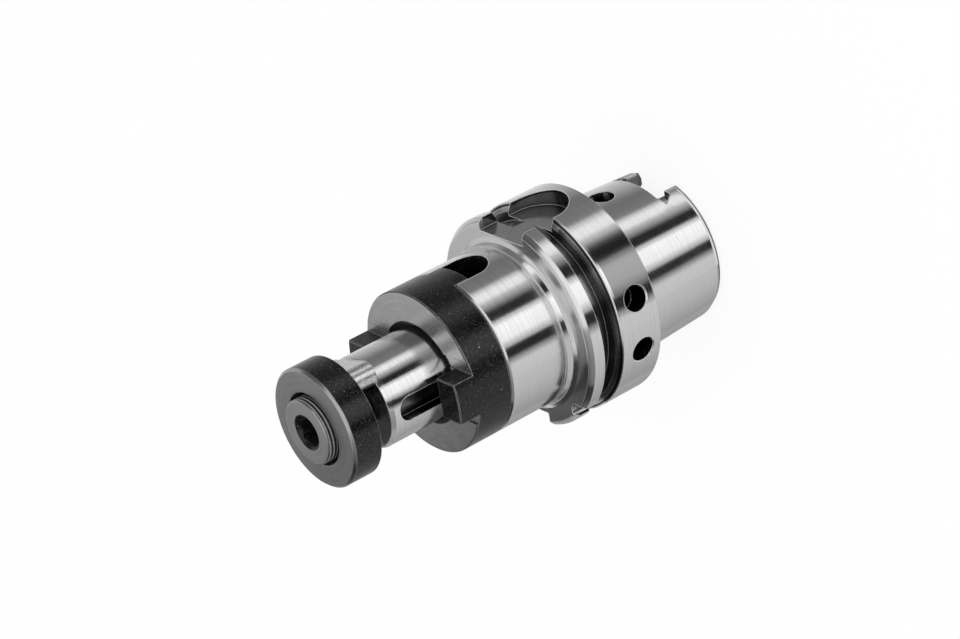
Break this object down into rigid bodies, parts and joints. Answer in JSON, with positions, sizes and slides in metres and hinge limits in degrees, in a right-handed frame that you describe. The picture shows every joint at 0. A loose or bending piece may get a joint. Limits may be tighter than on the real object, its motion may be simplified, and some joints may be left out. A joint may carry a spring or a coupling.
{
  "type": "combination shell mill arbor",
  "caption": "Hollow taper shank tool holder with gripper flange, drive ring with lugs, and a keyed spigot closed by a clamping disc and socket screw.",
  "frame": {"origin": "centre of the rear rim of the shank, on which the arbor stands", "axes": "+Z along the arbor's axis towards the screw head, +X through the spigot keyway, +Y through the wide gripper slot"},
  "size_m": [0.063, 0.063, 0.1315],
  "materials": {
    "ground_steel": "ground and polished",
    "black_ring": "black oxide",
    "key_steel": "ground",
    "black_disc": "black oxide",
    "black_screw": "black oxide"
  },
  "bodies": {
    "arbor": {"arbor_body": "ground_steel", "feather_key": "key_steel"},
    "ring": {"drive_ring": "black_ring"},
    "disc": {"clamping_disc": "black_disc"},
    "screw": {"clamping_screw": "black_screw"}
  },
  "joints": [
    {"name": "ring_slide", "type": "slide", "parent": "arbor", "child": "ring", "axis": [0, 0, 1], "range_m": [0, 0.02]},
    {"name": "disc_slide", "type": "slide", "parent": "arbor", "child": "disc", "axis": [0, 0, 1], "range_m": [0, 0.021]},
    {"name": "screw_turn", "type": "hinge", "parent": "disc", "child": "screw", "pos_m": [0, 0, 0.1243], "axis": [0, 0, 1], "range_deg": [0, 4320]}
  ],
  "couplings": [
    {"joint": "screw_turn", "follows": "disc_slide", "rad_per_m": 3590.4}
  ]
}
